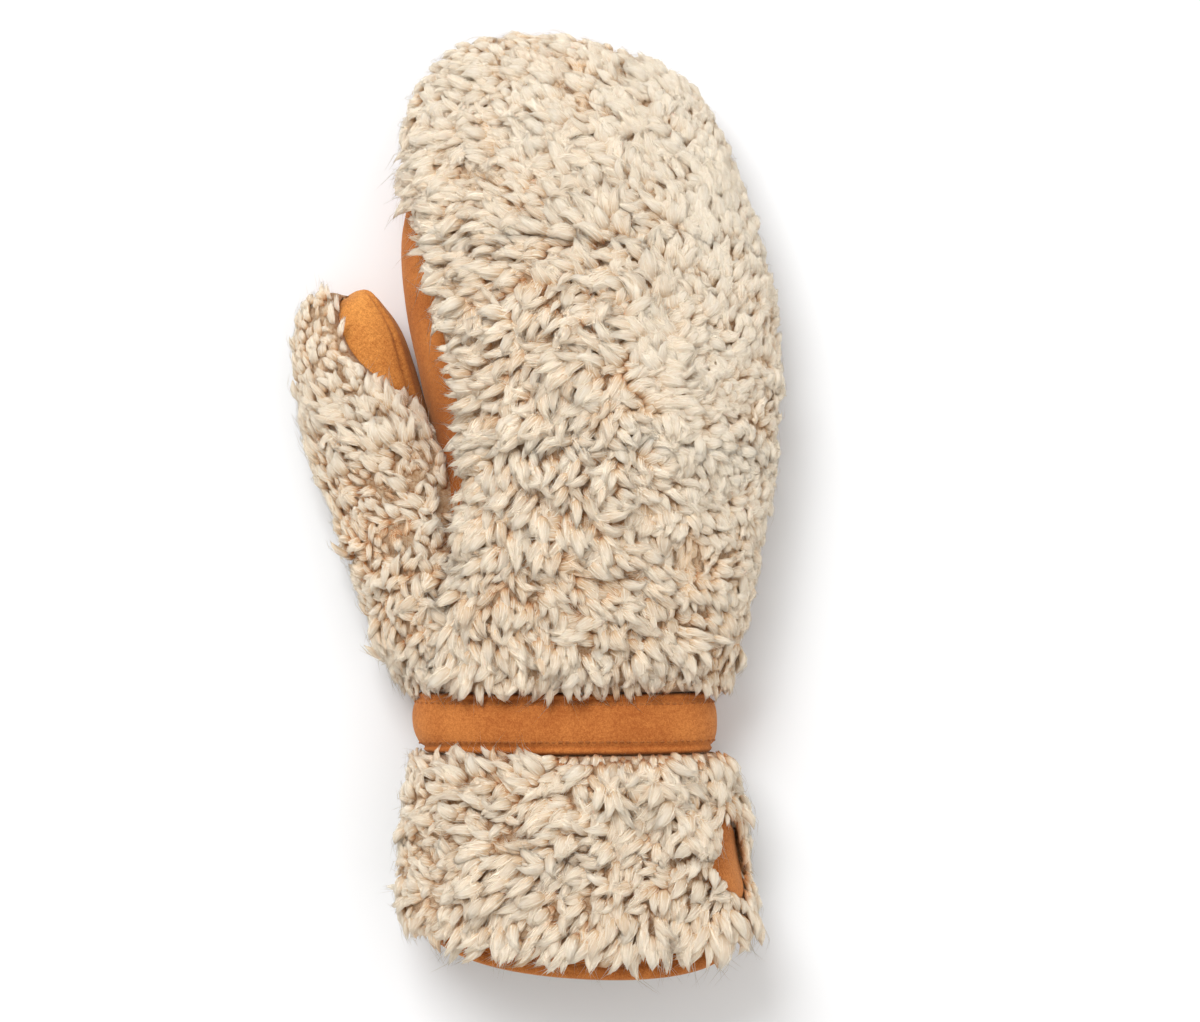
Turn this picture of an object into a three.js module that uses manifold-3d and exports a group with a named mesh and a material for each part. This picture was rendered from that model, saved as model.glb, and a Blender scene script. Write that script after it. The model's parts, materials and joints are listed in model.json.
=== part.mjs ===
// Sherpa mitten for the right hand, lying on its palm with the fingertips along +Y.
// Curly fleece covers the back of the hand, the thumb and the whole cuff. Suede makes the palm with
// the side that faces the thumb, the thumb's inner side, the wrist band, the hem and a plain badge.
// Every piece is a wall around one hollow that is open at the cuff's mouth. Millimetres, +Z up.
import * as THREE from "three";
import { mergeVertices } from "three/addons/utils/BufferGeometryUtils.js";
import Module from "manifold-3d";

const wasm = await Module();
wasm.setup();

// Driving dimensions
const pileDepth = 9; // curls above the fleece's backing
const pileAtEdge = 5; // curls where a fleece panel meets a seam
const pileCore = 0.84; // share of the pile that is solid below the separate locks
const fleeceWall = 3; // fleece backing with its plain inner cloth
const palmWall = 4; // padded suede
const bandBulge = 4; // how far the wrist band stands out of the sleeve
const hemLength = 6; // rolled hem, along the cuff
const hemBulge = 2; // how far the hem stands out of the backing
const badgeLift = 3; // badge above the backing, sunk in the pile
const badgeThickness = 1.6;
const badgeLength = 26; // along the cuff
const badgeTurn = 42; // degrees of the cuff's side that the badge covers
const seamGap = 0.3; // clearance between neighbouring pieces
const floorZ = 0; // suede and curls are pressed flat here
const edgeShare = 1 / 7; // share of a panel's width over which its pile rises to full depth

// Shape of a section: 1 is an ellipse, less is squarer
const topPower = 0.92;
const underPower = 0.74;

const fleeceMaterial = new THREE.MeshStandardMaterial({ color: 0xddccb0, roughness: 0.95, metalness: 0 });
const suedeMaterial = new THREE.MeshStandardMaterial({ color: 0xc67a3c, roughness: 0.85, metalness: 0 });

// Gives each row of a table its column names.
function table(columns, rows) {
  return rows.map((row) => Object.fromEntries(columns.map((name, i) => [name, row[i]])));
}

// Sections of the hand's backing, without its curls, from the wrist to the fingertips. left, right, side, top
// and bottom place the section, where side is the height of its widest place. skew turns it in plan and lean
// tips it along Y with its height. seamRight and seamLeft are the fleece's edges in degrees, counted from the
// right side over the top.
const hand = table(
  ["y", "left", "right", "side", "top", "bottom", "skew", "lean", "seamRight", "seamLeft"],
  [
    [0, -47.5, 38, 21, 38.5, 4.5, 0, -0.08, -24, 150],
    [15, -48, 41.7, 22, 41.5, 1, 0, -0.05, -24, 150],
    [30, -46.5, 44.7, 22, 45, -0.6, 0, -0.02, -24, 150],
    [46, -44, 47.8, 22, 48, -1, 0, 0, -24, 150],
    [62, -43, 50.5, 22, 50, -1, 0, 0, -24, 150],
    [78, -45.2, 52.5, 22, 51, -1, 0, 0, -24, 147],
    [94, -49, 53.2, 22, 51, -1, 0, 0, -24, 146],
    [110, -52.3, 52.5, 22, 49.5, -1, 0, 0, -24, 147],
    [126.4, -54.8, 50.6, 21.5, 47, -1, 0, 0, -24, 150],
    [142, -55.3, 46.8, 21, 43.5, -0.8, 0, 0, -24, 157],
    [154.8, -52.6, 42.9, 20, 40, 0, 0, 0, -24, 172],
    [165.5, -48.4, 40, 19, 36.5, 1, 0, 0, -24, 190],
    [175.2, -46.3, 35.8, 18, 33, 2.2, 0, 0, -24, 200],
    [184, -43.5, 28.5, 17, 29, 4, 0, 0, -24, 204],
    [191.7, -37.8, 15, 16, 25, 6.3, 0, 0, -24, 204],
    [196.7, -28.5, 0.5, 15, 20, 9.5, 0, 0, -24, 204],
    [198.4, -12.5, -12.5, 14, 14, 14, 0, 0, -24, 204],
  ],
);

// Sections of the thumb's backing from the wrist to its tip. seamTop and seamUnder are its fleece's edges.
const thumb = table(
  ["y", "left", "right", "side", "top", "bottom", "skew", "lean", "seamTop", "seamUnder"],
  [
    [0, -47.6, -26, 18, 31, 3, 0, 0, -20, 216],
    [15.4, -52, -27.6, 17.5, 32.5, 1, 3, 0, -15, 216],
    [30.9, -57.6, -30.7, 17, 32.5, -0.6, 6, 0, -10, 216],
    [53.3, -64.8, -37.5, 17, 31.5, -1, 6.6, 0, 0, 216],
    [75.1, -72.1, -45.4, 16.5, 30.5, -1, 6.3, 0, 24, 216],
    [95.8, -79.5, -51.3, 16, 29.5, -1, 4.9, 0, 74, 216],
    [110.3, -81, -55.9, 15.5, 28, -0.8, 2.7, 0, 102, 214],
    [118.3, -79, -62.8, 15, 25, 2, 2, 0, 110, 214],
    [122.6, -72.6, -72.6, 14.5, 14.5, 14.5, 0, 0, 115, 214],
  ],
);

// Sections of the sleeve's backing from the wrist, under the band and down the cuff to its mouth.
const sleeve = table(
  ["y", "left", "right", "side", "top", "bottom", "skew", "lean"],
  [
    [0, -47.5, 38, 21, 38.5, 4.5, 0, -0.08],
    [-9.4, -47.2, 38, 21, 38, 5, 0, -0.09],
    [-18.8, -45.5, 38.5, 22, 39.5, 6, 0, -0.1],
    [-34, -46, 40.5, 23, 43, 6.5, 0, -0.2],
    [-49, -46.5, 42.8, 24, 46.5, 7, -0.5, -0.32],
    [-63, -46.5, 45.2, 25, 49, 7, -1.5, -0.42],
    [-74, -43.5, 44.5, 25.5, 49.5, 7, -2.5, -0.5],
  ],
);
const handTip = hand.length - 1;
const thumbTip = thumb.length - 1;
const mouth = sleeve.length - 1;

// Lengths of one row of the sleeve at the band, the badge and the mouth, and what lies on it, in rows.
const bandRow = 9.4;
const badgeRow = 14;
const mouthRow = 11;
const bandStart = seamGap / bandRow;
const bandEnd = 2 - seamGap / bandRow;
const cuffStart = 2;
const hemStart = mouth - hemLength / mouthRow;
const badgeCentre = { row: 4.05, angle: 15 }; // on the cuff's outer side

// Catmull-Rom step between b and c.
function curve(a, b, c, d, f) {
  return b + 0.5 * f * (c - a + f * (2 * a - 5 * b + 4 * c - d + f * (3 * (b - c) + d - a)));
}

// The row that carries on past either end: over the dome of a closed tip, or straight on.
function rowBeyond(rows, end, next) {
  if (end.left === end.right) {
    return { ...next, left: next.right, right: next.left, top: next.bottom, bottom: next.top };
  }
  return Object.fromEntries(Object.keys(end).map((key) => [key, 2 * end[key] - next[key]]));
}

// The section at any place t along a table, 0 at its first row.
function rowAt(rows, t) {
  const last = rows.length - 1;
  const i = Math.max(0, Math.min(Math.floor(t), last - 1));
  const before = i > 0 ? rows[i - 1] : rowBeyond(rows, rows[0], rows[1]);
  const after = i < last - 1 ? rows[i + 2] : rowBeyond(rows, rows[last], rows[last - 1]);
  const between = (key) => curve(before[key], rows[i][key], rows[i + 1][key], after[key], t - i);
  return Object.fromEntries(Object.keys(rows[i]).map((key) => [key, between(key)]));
}

const bend = (value, power) => Math.sign(value) * Math.abs(value) ** power;

// A point of the backing: t along the table, angle in degrees from the right side over the top.
function sectionPoint(rows, t, angle) {
  const row = rowAt(rows, t);
  const cos = Math.cos(THREE.MathUtils.degToRad(angle));
  const sin = Math.sin(THREE.MathUtils.degToRad(angle));
  const power = sin > 0 ? topPower : underPower;
  const across = bend(cos, power);
  const z = row.side + bend(sin, power) * (sin > 0 ? row.top - row.side : row.side - row.bottom);
  const x = (row.left + row.right) / 2 + (across * (row.right - row.left)) / 2;
  return new THREE.Vector3(x, row.y + row.skew * across + row.lean * (z - row.side), z);
}

// The outward direction there. At a closed tip every angle gives the tip's own direction.
function outward(rows, t, angle) {
  const tip = rows.length - 1;
  const nudge = 0.02;
  const atTip = rows[tip].left === rows[tip].right && t > tip - 2 * nudge;
  const beside = (dt, turn) => sectionPoint(rows, t + dt, angle + turn);
  const nearTip = (turn) => sectionPoint(rows, tip - nudge, turn);
  const along = atTip ? nearTip(90).sub(nearTip(270)) : beside(nudge, 0).sub(beside(-nudge, 0));
  const round = atTip ? nearTip(0).sub(nearTip(180)) : beside(0, 1).sub(beside(0, -1));
  const normal = along.cross(round).normalize();
  return rows[1].y > rows[0].y ? normal : normal.negate();
}

const skinPoint = (rows, t, angle, offset) =>
  sectionPoint(rows, t, angle).addScaledVector(outward(rows, t, angle), offset);

// A closed geometry as a solid. Points that fall together, as at a tip, are merged and flat faces dropped.
function solidOf(geometry) {
  const bare = new THREE.BufferGeometry().setAttribute("position", geometry.getAttribute("position"));
  bare.setIndex(geometry.index);
  const merged = mergeVertices(bare, 1e-4);
  const index = merged.index.array;
  const faces = [];
  for (let i = 0; i < index.length; i += 3) {
    const [a, b, c] = [index[i], index[i + 1], index[i + 2]];
    if (a !== b && b !== c && c !== a) faces.push(a, b, c);
  }
  const vertProperties = merged.attributes.position.array;
  return new wasm.Manifold(new wasm.Mesh({ numProp: 3, vertProperties, triVerts: new Uint32Array(faces) }));
}

// A closed solid from two facing grids of points, outer over inner. A ring's last column is its first.
function gridSolid(outer, inner, ring) {
  const lengths = outer.length;
  const widths = outer[0].length;
  const points = [...outer.flat(), ...inner.flat()];
  const layer = lengths * widths;
  const faces = [];
  const quad = (a, b, c, d) => faces.push(a, b, c, a, c, d);
  const at = (i, j, under) => i * widths + (ring ? j % widths : j) + (under ? layer : 0);
  const spans = ring ? widths : widths - 1;
  for (let i = 0; i < lengths - 1; i++) {
    for (let j = 0; j < spans; j++) {
      quad(at(i, j), at(i + 1, j), at(i + 1, j + 1), at(i, j + 1));
      quad(at(i, j, true), at(i, j + 1, true), at(i + 1, j + 1, true), at(i + 1, j, true));
    }
    if (!ring) {
      quad(at(i, 0), at(i, 0, true), at(i + 1, 0, true), at(i + 1, 0));
      quad(at(i, spans), at(i + 1, spans), at(i + 1, spans, true), at(i, spans, true));
    }
  }
  const end = lengths - 1;
  for (let j = 0; j < spans; j++) {
    quad(at(0, j), at(0, j + 1), at(0, j + 1, true), at(0, j, true));
    quad(at(end, j), at(end, j, true), at(end, j + 1, true), at(end, j + 1));
  }
  const geometry = new THREE.BufferGeometry().setFromPoints(points).setIndex(faces);
  const solid = solidOf(geometry);
  if (solid.volume() > 0) return solid;
  for (let i = 0; i < faces.length; i += 3) [faces[i + 1], faces[i + 2]] = [faces[i + 2], faces[i + 1]];
  return solidOf(geometry.setIndex(faces));
}

const spread = (from, to, steps) =>
  Array.from({ length: steps + 1 }, (_, i) => from + ((to - from) * i) / steps);

// A wall between two offsets of a backing. start and finish give its two edges in degrees at t, and outside
// its offset at t and at a share of the way across.
function panel(rows, { from, to, steps, across, start, finish, outside, inside, grow = 0 }) {
  const places = spread(from, to, steps);
  const edge = (t, angle, way) => {
    const perDegree = sectionPoint(rows, t, angle).distanceTo(sectionPoint(rows, t, angle + 1));
    return angle + (way * grow) / Math.max(perDegree, 0.05);
  };
  const grid = (offset) =>
    places.map((t) =>
      spread(0, 1, across).map((share) => {
        const low = edge(t, start(t), -1);
        const high = edge(t, finish(t), 1);
        return skinPoint(rows, t, low + (high - low) * share, offset(t, share));
      }),
    );
  return gridSolid(
    grid((t, share) => outside(t, share) + grow),
    grid(() => -inside - grow),
    false,
  );
}

// A wall all the way round.
function ring(rows, { from, to, steps, around, outside, inside }) {
  const places = spread(from, to, steps);
  const angles = Array.from({ length: around }, (_, j) => (360 * j) / around);
  const grid = (offset) => places.map((t) => angles.map((angle) => skinPoint(rows, t, angle, offset(t))));
  return gridSolid(grid(outside), grid(() => -inside), true);
}

// Everything inside one offset of a backing, as a solid block.
function block(rows, { from, to, steps, around, offset }) {
  const places = spread(from, to, steps);
  const angles = Array.from({ length: around }, (_, j) => (360 * j) / around);
  const shell = places.map((t) => angles.map((angle) => skinPoint(rows, t, angle, offset)));
  const heart = shell.map((loop) => {
    const middle = loop.reduce((sum, p) => sum.add(p), new THREE.Vector3()).divideScalar(loop.length);
    return loop.map(() => middle.clone());
  });
  return gridSolid(shell, heart, true);
}

// Repeatable scatter between -1 and 1 for the locks.
function scatter(seed) {
  const wave = Math.sin(seed * 127.1 + 311.7) * 43758.5453;
  return 2 * (wave - Math.floor(wave)) - 1;
}

// One lock of curls: a drop along its heading, widest behind its middle, with its tip lifted and bent aside.
// Half of it is sunk in the pile.
function lockSolid(rows, t, angle, sink, heading, size, bendAside, grow) {
  const drop = new THREE.SphereGeometry(1, 5, 3);
  const position = drop.getAttribute("position");
  for (let i = 0; i < position.count; i++) {
    const y = position.getY(i);
    const girth = 1.06 - 0.32 * y;
    position.setXYZ(
      i,
      position.getX(i) * girth * (size.width / 2 + grow) + bendAside * y * y,
      y * (size.length / 2 + grow),
      position.getZ(i) * girth * (size.height / 2 + grow) + size.lift * y,
    );
  }
  const normal = outward(rows, t, angle);
  const forward = heading.clone().addScaledVector(normal, -heading.dot(normal)).normalize();
  const aside = new THREE.Vector3().crossVectors(forward, normal);
  const place = new THREE.Matrix4().makeBasis(aside, forward, normal);
  place.setPosition(skinPoint(rows, t, angle, sink));
  return solidOf(drop.applyMatrix4(place));
}

// Staggered rows of locks over a stretch of backing, combed away from a focus and fused to one solid. start and
// finish give the stretch in degrees at t, and margin keeps the locks that many millimetres inside it.
function locksOver(rows, { from, to, steps, start, finish, margin, pitch, focus, size, sink, loose }, grow) {
  const locks = [];
  spread(from, to, steps).forEach((t, i) => {
    const angles = spread(start(t), finish(t), 16);
    const walk = angles.map((angle) => ({ angle, at: sectionPoint(rows, t, angle), arc: 0 }));
    for (let k = 1; k < walk.length; k++) walk[k].arc = walk[k - 1].arc + walk[k].at.distanceTo(walk[k - 1].at);
    const span = walk[16].arc - 2 * margin;
    const count = Math.max(1, Math.round(span / pitch));
    for (let j = 0; j < count; j++) {
      const seed = 1 + 57 * i + j;
      const arc = margin + (span * (j + 0.5 + (i % 2 ? 0.25 : -0.25) + 0.15 * scatter(seed))) / count;
      const k = Math.max(1, walk.findIndex((step) => step.arc > arc));
      const part = (arc - walk[k - 1].arc) / (walk[k].arc - walk[k - 1].arc);
      const angle = walk[k - 1].angle + part * (walk[k].angle - walk[k - 1].angle);
      const heading = sectionPoint(rows, t, angle).sub(focus).normalize();
      heading.applyAxisAngle(outward(rows, t, angle), loose * scatter(seed + 0.5));
      const bendAside = 2.5 * Math.sign(scatter(seed + 0.3));
      locks.push(lockSolid(rows, t + 0.1 * scatter(seed + 0.7), angle, sink, heading, size, bendAside, grow));
    }
  });
  return locks.reduce((fused, lock) => fused.add(lock));
}

// Presses what would reach below the floor flat.
const belowFloor = solidOf(new THREE.BoxGeometry(400, 500, 60).translate(0, 0, floorZ - 30));
const pressed = (solid) => solid.subtract(belowFloor);

// A named piece. Crumbs that a cut has left beside it are dropped.
function finished(name, solid, material) {
  const bodies = solid.decompose().sort((a, b) => b.volume() - a.volume());
  const mesh = bodies[0].getMesh();
  const positions = new THREE.BufferAttribute(new Float32Array(mesh.vertProperties), 3);
  const geometry = new THREE.BufferGeometry().setAttribute("position", positions);
  geometry.setIndex(new THREE.BufferAttribute(new Uint32Array(mesh.triVerts), 1));
  geometry.computeVertexNormals();
  const made = new THREE.Mesh(geometry, material);
  made.name = name;
  return made;
}

// The pile rises from a panel's edges to its full depth, but stays full over a closed tip.
const ease = (x) => THREE.MathUtils.smoothstep(x, 0, 1);
const pileFor = (rise) => pileCore * (pileAtEdge + (pileDepth - pileAtEdge) * rise);

function panelPile(t, share, tip) {
  const inFromEdge = ease(Math.min(share, 1 - share) / edgeShare);
  return t > tip - 1 ? 1 : inFromEdge;
}

const handPile = (t, share) => pileFor(panelPile(t, share, handTip) * ease(0.35 + 0.8 * t));
const thumbPile = (t, share) => pileFor(panelPile(t, share, thumbTip) * ease(0.8 * t));
const cuffPile = (t) => pileFor(ease(2.5 * (t - cuffStart) + 0.2));

const handLocks = {
  from: 0.75,
  to: handTip - 0.8,
  steps: 11,
  start: (t) => rowAt(hand, t).seamRight,
  finish: (t) => rowAt(hand, t).seamLeft,
  margin: 8,
  pitch: 18,
  focus: new THREE.Vector3(6, 105, 52),
  size: { length: 28, width: 18, height: 8.4, lift: 0.8 },
  sink: 5.4,
  loose: 0.5,
};

const thumbLocks = {
  from: 0.8,
  to: thumbTip - 0.7,
  steps: 5,
  start: (t) => rowAt(thumb, t).seamTop,
  finish: (t) => rowAt(thumb, t).seamUnder,
  margin: 5,
  pitch: 13,
  focus: new THREE.Vector3(-48, 84, 40),
  size: { length: 20, width: 12, height: 7, lift: 0.8 },
  sink: 5.4,
  loose: 0.5,
};

const cuffLocks = {
  from: cuffStart + 0.4,
  to: hemStart - 0.55,
  steps: 3,
  start: () => 0,
  finish: () => 360,
  margin: 0,
  pitch: 24,
  focus: new THREE.Vector3(0, -30, 26),
  size: { length: 26, width: 18, height: 8.4, lift: 0.8 },
  sink: 5.6,
  loose: 0.5,
};

function handShell(grow = 0) {
  return panel(hand, {
    from: -0.06,
    to: handTip,
    steps: 16,
    across: 10,
    start: (t) => rowAt(hand, t).seamRight,
    finish: (t) => rowAt(hand, t).seamLeft,
    outside: handPile,
    inside: fleeceWall,
    grow,
  });
}

const handFleece = (grow = 0) => handShell(grow).add(locksOver(hand, handLocks, grow));

function thumbShell(grow = 0) {
  return panel(thumb, {
    from: 0.03,
    to: thumbTip,
    steps: 12,
    across: 8,
    start: (t) => rowAt(thumb, t).seamTop,
    finish: (t) => rowAt(thumb, t).seamUnder,
    outside: thumbPile,
    inside: fleeceWall,
    grow,
  });
}

const thumbFleece = (grow = 0) => thumbShell(grow).add(locksOver(thumb, thumbLocks, grow));

// Suede from the fleece's left edge down the side and under the hand to its right edge.
function palmPanel(grow = 0) {
  return panel(hand, {
    from: 0,
    to: handTip - 0.12,
    steps: 15,
    across: 8,
    start: (t) => rowAt(hand, t).seamLeft,
    finish: (t) => 360 + rowAt(hand, t).seamRight,
    outside: () => 0,
    inside: palmWall,
    grow,
  });
}

// Suede on the thumb's inner side and underside, short of the tip where the fleece closes over.
function thumbPanel() {
  return panel(thumb, {
    from: 0.3,
    to: thumbTip - 0.28,
    steps: 9,
    across: 5,
    start: (t) => rowAt(thumb, t).seamUnder,
    finish: (t) => 360 + rowAt(thumb, t).seamTop,
    outside: () => 0,
    inside: palmWall,
  });
}

// The band bulges between its two stitched edges.
function bandRing(grow = 0) {
  const middle = (bandStart + bandEnd) / 2;
  const half = (bandEnd - bandStart) / 2;
  return ring(sleeve, {
    from: bandStart - grow / bandRow,
    to: bandEnd + grow / bandRow,
    steps: 4,
    around: 28,
    outside: (t) => grow + bandBulge * (1 - 0.55 * Math.min(Math.abs(t - middle) / half, 1) ** 3),
    inside: fleeceWall + grow,
  });
}

// The hem rolls over the mouth.
function hemRing(grow = 0) {
  const bulge = (t) => Math.sqrt(Math.max(0.1, 1 - ((t - hemStart) / (mouth - hemStart)) ** 6));
  return ring(sleeve, {
    from: hemStart - grow / mouthRow,
    to: mouth + grow / mouthRow,
    steps: 2,
    around: 28,
    outside: (t) => grow + hemBulge * bulge(t),
    inside: fleeceWall + 1 + grow,
  });
}

// The cuff's wall starts and ends inside what the band and the hem then cut away.
function cuffShell() {
  return ring(sleeve, {
    from: cuffStart - 0.1,
    to: hemStart + 0.06,
    steps: 5,
    around: 24,
    outside: cuffPile,
    inside: fleeceWall,
  });
}

// An oval plate that follows the cuff, between two offsets.
function badgePlate(low, high, grow = 0) {
  const rings = 2;
  const around = 16;
  const degreesPerMillimetre = 2.4; // round the cuff's side
  const halfRow = (badgeLength / 2 + grow) / badgeRow;
  const halfTurn = badgeTurn / 2 + grow * degreesPerMillimetre;
  const grid = (offset) =>
    spread(0, 1, rings).map((reach) =>
      Array.from({ length: around }, (_, j) => {
        const way = (2 * Math.PI * j) / around;
        const t = badgeCentre.row + halfRow * reach * Math.sin(way);
        const angle = badgeCentre.angle + halfTurn * reach * Math.cos(way);
        return skinPoint(sleeve, t, angle, offset);
      }),
    );
  return gridSolid(grid(high), grid(low), true);
}

// What the pieces are cut by, with their clearance
const thumbHollow = block(thumb, { from: 2, to: thumbTip - 0.35, steps: 10, around: 16, offset: -palmWall });
const handBlock = block(hand, { from: 0, to: handTip - 0.05, steps: 20, around: 28, offset: seamGap });
const bandKeepOut = bandRing(seamGap);
const handKeepOut = handFleece(seamGap).add(palmPanel(seamGap)).add(handBlock);
const badgePocket = badgePlate(badgeLift - seamGap, 3 * pileDepth, seamGap);

const handBack = handFleece().subtract(bandKeepOut);
const thumbBack = thumbFleece().subtract(handKeepOut).subtract(bandKeepOut);
const palm = palmPanel().subtract(handShell(seamGap)).subtract(thumbHollow);
const thumbSuede = thumbPanel().subtract(handKeepOut).subtract(thumbShell(seamGap));
const cuffWall = cuffShell().add(locksOver(sleeve, cuffLocks, 0));
const cuff = cuffWall.subtract(bandKeepOut).subtract(hemRing(seamGap)).subtract(badgePocket);
const badge = badgePlate(badgeLift, badgeLift + badgeThickness);

const mitten = new THREE.Group();
mitten.add(finished("hand_back_fleece", pressed(handBack), fleeceMaterial));
mitten.add(finished("thumb_back_fleece", pressed(thumbBack), fleeceMaterial));
mitten.add(finished("palm_suede", pressed(palm), suedeMaterial));
mitten.add(finished("thumb_suede", pressed(thumbSuede), suedeMaterial));
mitten.add(finished("wrist_band", bandRing(), suedeMaterial));
mitten.add(finished("cuff_fleece", pressed(cuff), fleeceMaterial));
mitten.add(finished("cuff_hem", hemRing(), suedeMaterial));
mitten.add(finished("cuff_badge", badge, suedeMaterial));

// The origin is on the floor below the middle of the whole mitten.
const middle = new THREE.Box3().setFromObject(mitten).getCenter(new THREE.Vector3());
mitten.position.set(-middle.x, -middle.y, -floorZ);

export default mitten;
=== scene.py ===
import json
import math
import bpy
import bmesh
import numpy as np
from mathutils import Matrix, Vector, noise

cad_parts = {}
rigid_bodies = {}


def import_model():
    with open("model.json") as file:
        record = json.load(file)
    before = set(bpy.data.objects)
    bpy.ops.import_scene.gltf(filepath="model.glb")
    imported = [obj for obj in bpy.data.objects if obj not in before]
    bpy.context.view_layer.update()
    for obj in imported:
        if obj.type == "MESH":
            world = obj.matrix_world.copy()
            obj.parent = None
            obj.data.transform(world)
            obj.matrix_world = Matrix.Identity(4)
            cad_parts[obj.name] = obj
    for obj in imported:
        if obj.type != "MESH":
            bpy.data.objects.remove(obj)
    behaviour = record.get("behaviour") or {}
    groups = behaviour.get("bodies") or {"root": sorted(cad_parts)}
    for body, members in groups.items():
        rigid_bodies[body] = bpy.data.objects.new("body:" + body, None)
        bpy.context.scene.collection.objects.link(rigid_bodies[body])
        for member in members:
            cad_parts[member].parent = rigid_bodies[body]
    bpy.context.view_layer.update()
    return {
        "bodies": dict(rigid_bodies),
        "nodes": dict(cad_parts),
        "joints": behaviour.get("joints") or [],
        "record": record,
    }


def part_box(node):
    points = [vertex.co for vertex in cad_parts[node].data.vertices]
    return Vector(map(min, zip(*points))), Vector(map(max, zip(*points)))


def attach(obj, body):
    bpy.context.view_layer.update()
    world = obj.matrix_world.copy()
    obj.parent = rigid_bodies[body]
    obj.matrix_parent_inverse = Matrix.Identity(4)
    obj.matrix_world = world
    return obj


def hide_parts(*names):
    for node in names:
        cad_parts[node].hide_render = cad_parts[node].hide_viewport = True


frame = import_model()
print("frame loaded:", len(frame["nodes"]), "nodes")

# Shapes are drawn in millimetres with the wrist seam at y = 0, fingertips up, then set in the frame
drawing = {"bandMiddle": (-4.60, -9.74), "millimetre": 0.001,
           "topPower": 0.92, "underPower": 0.74, "press": 0.3}
pile = {"depth": 9.0, "atEdge": 5.0, "mat": 0.70, "root": 0.75, "sunk": 1.3, "mostSunk": 1.35,
        "calmTone": 0.9, "shade": 0.24, "shadeFrom": 1.15, "shadeSpan": 3.5}
bandLow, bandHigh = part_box("wrist_band")
shift = np.array([
    (bandLow[i] + bandHigh[i]) / 2 / drawing["millimetre"] - drawing["bandMiddle"][i] for i in (0, 1)
] + [0])


def sections(columns, rows):  # columns of a section table, with one more row past either end
    plain = {name: [row[i] for row in rows] for i, name in enumerate(columns)}
    closed = plain["left"][-1] == plain["right"][-1]
    swap = {"left": "right", "right": "left", "top": "bottom", "bottom": "top"} if closed else {}
    body = {"tip": len(rows) - 1, "closed": closed, "way": 1 if plain["y"][1] > plain["y"][0] else -1}
    for name, values in plain.items():
        before = 2 * values[0] - values[1]
        after = plain[swap.get(name, name)][-2] if closed else 2 * values[-1] - values[-2]
        body[name] = np.array([before, *values, after], float)
    return body


hand = sections(
    ["y", "left", "right", "side", "top", "bottom", "skew", "lean", "seamRight", "seamLeft"],
    [
        [0, -47.5, 38, 21, 38.5, 4.5, 0, -0.08, -24, 150],
        [15, -48, 41.7, 22, 41.5, 1, 0, -0.05, -24, 150],
        [30, -46.5, 44.7, 22, 45, -0.6, 0, -0.02, -24, 150],
        [46, -44, 47.8, 22, 48, -1, 0, 0, -24, 150],
        [62, -43, 50.5, 22, 50, -1, 0, 0, -24, 150],
        [78, -45.2, 52.5, 22, 51, -1, 0, 0, -24, 147],
        [94, -49, 53.2, 22, 51, -1, 0, 0, -24, 146],
        [110, -52.3, 52.5, 22, 49.5, -1, 0, 0, -24, 147],
        [126.4, -54.8, 50.6, 21.5, 47, -1, 0, 0, -24, 150],
        [142, -55.3, 46.8, 21, 43.5, -0.8, 0, 0, -24, 157],
        [154.8, -52.6, 42.9, 20, 40, 0, 0, 0, -24, 172],
        [165.5, -48.4, 40, 19, 36.5, 1, 0, 0, -24, 190],
        [175.2, -46.3, 35.8, 18, 33, 2.2, 0, 0, -24, 200],
        [184, -43.5, 28.5, 17, 29, 4, 0, 0, -24, 204],
        [191.7, -37.8, 15, 16, 25, 6.3, 0, 0, -24, 204],
        [196.7, -28.5, 0.5, 15, 20, 9.5, 0, 0, -24, 204],
        [198.4, -12.5, -12.5, 14, 14, 14, 0, 0, -24, 204],
    ],
)
thumb = sections(
    ["y", "left", "right", "side", "top", "bottom", "skew", "lean", "seamTop", "seamUnder"],
    [
        [0, -47.6, -26, 18, 31, 3, 0, 0, -20, 216],
        [15.4, -52, -27.6, 17.5, 32.5, 1, 3, 0, -15, 216],
        [30.9, -57.6, -30.7, 17, 32.5, -0.6, 6, 0, -10, 216],
        [53.3, -64.8, -37.5, 17, 31.5, -1, 6.6, 0, 0, 216],
        [75.1, -72.1, -45.4, 16.5, 30.5, -1, 6.3, 0, 24, 216],
        [95.8, -79.5, -51.3, 16, 29.5, -1, 4.9, 0, 74, 216],
        [110.3, -81, -55.9, 15.5, 28, -0.8, 2.7, 0, 102, 214],
        [118.3, -79, -62.8, 15, 25, 2, 2, 0, 110, 214],
        [122.6, -72.6, -72.6, 14.5, 14.5, 14.5, 0, 0, 115, 214],
    ],
)
sleeve = sections(
    ["y", "left", "right", "side", "top", "bottom", "skew", "lean"],
    [
        [0, -47.5, 38, 21, 38.5, 4.5, 0, -0.08],
        [-9.4, -47.2, 38, 21, 38, 5, 0, -0.09],
        [-18.8, -45.5, 38.5, 22, 39.5, 6, 0, -0.1],
        [-34, -46, 40.5, 23, 43, 6.5, 0, -0.2],
        [-49, -46.5, 42.8, 24, 46.5, 7, -0.5, -0.32],
        [-63, -46.5, 45.2, 25, 49, 7, -1.5, -0.42],
        [-74, -43.5, 44.5, 25.5, 49.5, 7, -2.5, -0.5],
    ],
)
mouthRow = 11.0  # millimetres from the last row but one to the mouth
hemHeight = 6.0
hemStart = sleeve["tip"] - hemHeight / mouthRow


def column(body, name, t):
    values = body[name]
    i = np.clip(np.floor(t).astype(int), 0, body["tip"] - 1)
    f = t - i
    a, b, c, d = values[i], values[i + 1], values[i + 2], values[i + 3]
    return b + 0.5 * f * (c - a + f * (2 * a - 5 * b + 4 * c - d + f * (3 * (b - c) + d - a)))


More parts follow.
